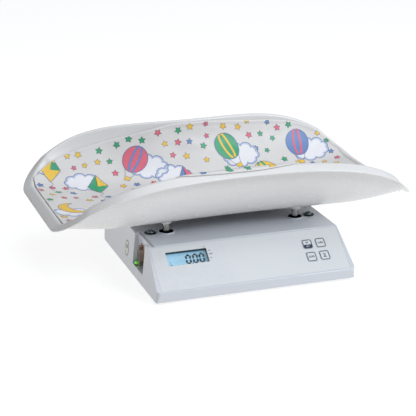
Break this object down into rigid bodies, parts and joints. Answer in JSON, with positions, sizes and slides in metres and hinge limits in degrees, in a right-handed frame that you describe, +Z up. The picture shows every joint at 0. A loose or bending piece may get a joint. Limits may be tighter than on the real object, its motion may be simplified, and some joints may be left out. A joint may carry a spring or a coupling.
{
  "type": "digital baby weighing scale",
  "caption": "Digital baby scale: wedge-fronted base with display and keys on its sloped panel, posts from a load cell inside, and a lift-off trough tray with a thin pad.",
  "frame": {"origin": "bottom centre of the whole object, on the ground plane", "axes": "+X along the tray to the right seen from the front, +Z up, the sloped panel faces -Y"},
  "size_m": [0.5268, 0.3349, 0.1655],
  "materials": {
    "housing_white": "fine moulded texture",
    "tray_white": "smooth moulded",
    "panel_film": "satin film",
    "frame_black": "gloss black",
    "window_clear": "clear",
    "display_glass": "backlit glass",
    "board_green": "solder mask",
    "switch_black": "moulded",
    "key_navy": "printed film",
    "key_pale": "printed film",
    "zinc_steel": "zinc plated",
    "dark_screw": "black oxide",
    "cup_black": "moulded",
    "sheet_steel": "galvanised",
    "post_bright": "bright",
    "cell_aluminium": "machined",
    "battery_grey": "moulded",
    "lead_dark": "vinyl sheath",
    "lead_red": "vinyl sheath",
    "inlet_black": "moulded",
    "port_metal": "tarnished plating",
    "level_clear": "clear acrylic",
    "level_green": "tinted liquid",
    "label_pale": "satin label",
    "pad_vinyl": "printed vinyl",
    "rubber_black": "matte"
  },
  "bodies": {
    "base": {"housing_top": "housing_white", "front_overlay": "panel_film", "lcd_bezel": "frame_black", "lcd_window": "window_clear", "lcd_module": "display_glass", "display_board": "board_green", "key_switches": "switch_black", "board_screws": "zinc_steel", "screw_cups": "cup_black", "cover_screws": "dark_screw", "chassis": "sheet_steel", "chassis_pillars": "zinc_steel", "chassis_screws": "zinc_steel", "foot_nuts": "zinc_steel", "main_board": "board_green", "board_spacers": "zinc_steel", "battery": "battery_grey", "battery_clamp": "sheet_steel", "battery_lead": "lead_red", "dc_jack": "inlet_black", "serial_shell": "port_metal", "serial_insert": "inlet_black", "serial_jackscrews": "port_metal", "level_cup": "level_clear", "level_liquid": "level_green", "side_decal": "label_pale", "load_cell": "cell_aluminium", "cell_spacer_lower": "zinc_steel", "cell_bolts_lower": "dark_screw", "cell_lead": "lead_dark"},
    "platform": {"cell_spacer_upper": "zinc_steel", "cell_bolts_upper": "dark_screw", "weigh_platform": "sheet_steel", "posts": "post_bright", "post_nuts": "zinc_steel"},
    "tray": {"tray_shell": "tray_white", "tray_sockets": "tray_white"},
    "pad": {"pad": "pad_vinyl"},
    "key_power": {"key_power": "key_navy"},
    "key_tare": {"key_tare": "key_pale"},
    "key_zero": {"key_zero": "key_pale"},
    "key_hold": {"key_hold": "key_pale"},
    "foot_pad_fl": {"foot_pad_fl": "rubber_black"},
    "foot_screw_fl": {"foot_screw_fl": "zinc_steel"},
    "foot_pad_fr": {"foot_pad_fr": "rubber_black"},
    "foot_screw_fr": {"foot_screw_fr": "zinc_steel"},
    "foot_pad_rl": {"foot_pad_rl": "rubber_black"},
    "foot_screw_rl": {"foot_screw_rl": "zinc_steel"},
    "foot_pad_rr": {"foot_pad_rr": "rubber_black"},
    "foot_screw_rr": {"foot_screw_rr": "zinc_steel"}
  },
  "joints": [
    {"name": "weigh_deflect", "type": "slide", "parent": "base", "child": "platform", "axis": [0, 0, 1], "range_m": [-0.0005, 0], "stiffness_N_per_m": 200000, "springref_m": 0.0001, "deforming": ["load_cell"]},
    {"name": "tray_lift", "type": "slide", "parent": "platform", "child": "tray", "axis": [0, 0, 1], "range_m": [0, 0.04]},
    {"name": "pad_lift", "type": "slide", "parent": "tray", "child": "pad", "axis": [0, 0, 1], "range_m": [0, 0.08]},
    {"name": "key_power_press", "type": "slide", "parent": "base", "child": "key_power", "axis": [0, 0.6181, -0.7861], "range_m": [0, 0.0004], "stiffness_N_per_m": 4000, "springref_m": -0.0001},
    {"name": "key_tare_press", "type": "slide", "parent": "base", "child": "key_tare", "axis": [0, 0.6181, -0.7861], "range_m": [0, 0.0004], "stiffness_N_per_m": 4000, "springref_m": -0.0001},
    {"name": "key_zero_press", "type": "slide", "parent": "base", "child": "key_zero", "axis": [0, 0.6181, -0.7861], "range_m": [0, 0.0004], "stiffness_N_per_m": 4000, "springref_m": -0.0001},
    {"name": "key_hold_press", "type": "slide", "parent": "base", "child": "key_hold", "axis": [0, 0.6181, -0.7861], "range_m": [0, 0.0004], "stiffness_N_per_m": 4000, "springref_m": -0.0001},
    {"name": "foot_fl_extend", "type": "slide", "parent": "base", "child": "foot_pad_fl", "axis": [0, 0, -1], "range_m": [0, 0.005]},
    {"name": "foot_fl_turn", "type": "hinge", "parent": "foot_pad_fl", "child": "foot_screw_fl", "pos_m": [-0.118, -0.14135, 0.004], "axis": [0, 0, -1], "range_deg": [0, 1440]},
    {"name": "foot_fr_extend", "type": "slide", "parent": "base", "child": "foot_pad_fr", "axis": [0, 0, -1], "range_m": [0, 0.005]},
    {"name": "foot_fr_turn", "type": "hinge", "parent": "foot_pad_fr", "child": "foot_screw_fr", "pos_m": [0.118, -0.14135, 0.004], "axis": [0, 0, -1], "range_deg": [0, 1440]},
    {"name": "foot_rl_extend", "type": "slide", "parent": "base", "child": "foot_pad_rl", "axis": [0, 0, -1], "range_m": [0, 0.005]},
    {"name": "foot_rl_turn", "type": "hinge", "parent": "foot_pad_rl", "child": "foot_screw_rl", "pos_m": [-0.1, 0.08665, 0.004], "axis": [0, 0, -1], "range_deg": [0, 1440]},
    {"name": "foot_rr_extend", "type": "slide", "parent": "base", "child": "foot_pad_rr", "axis": [0, 0, -1], "range_m": [0, 0.005]},
    {"name": "foot_rr_turn", "type": "hinge", "parent": "foot_pad_rr", "child": "foot_screw_rr", "pos_m": [0.1, 0.08665, 0.004], "axis": [0, 0, -1], "range_deg": [0, 1440]}
  ],
  "couplings": [
    {"joint": "foot_fl_extend", "follows": "foot_fl_turn", "m_per_rad": 0.00019894},
    {"joint": "foot_fr_extend", "follows": "foot_fr_turn", "m_per_rad": 0.00019894},
    {"joint": "foot_rl_extend", "follows": "foot_rl_turn", "m_per_rad": 0.00019894},
    {"joint": "foot_rr_extend", "follows": "foot_rr_turn", "m_per_rad": 0.00019894}
  ]
}
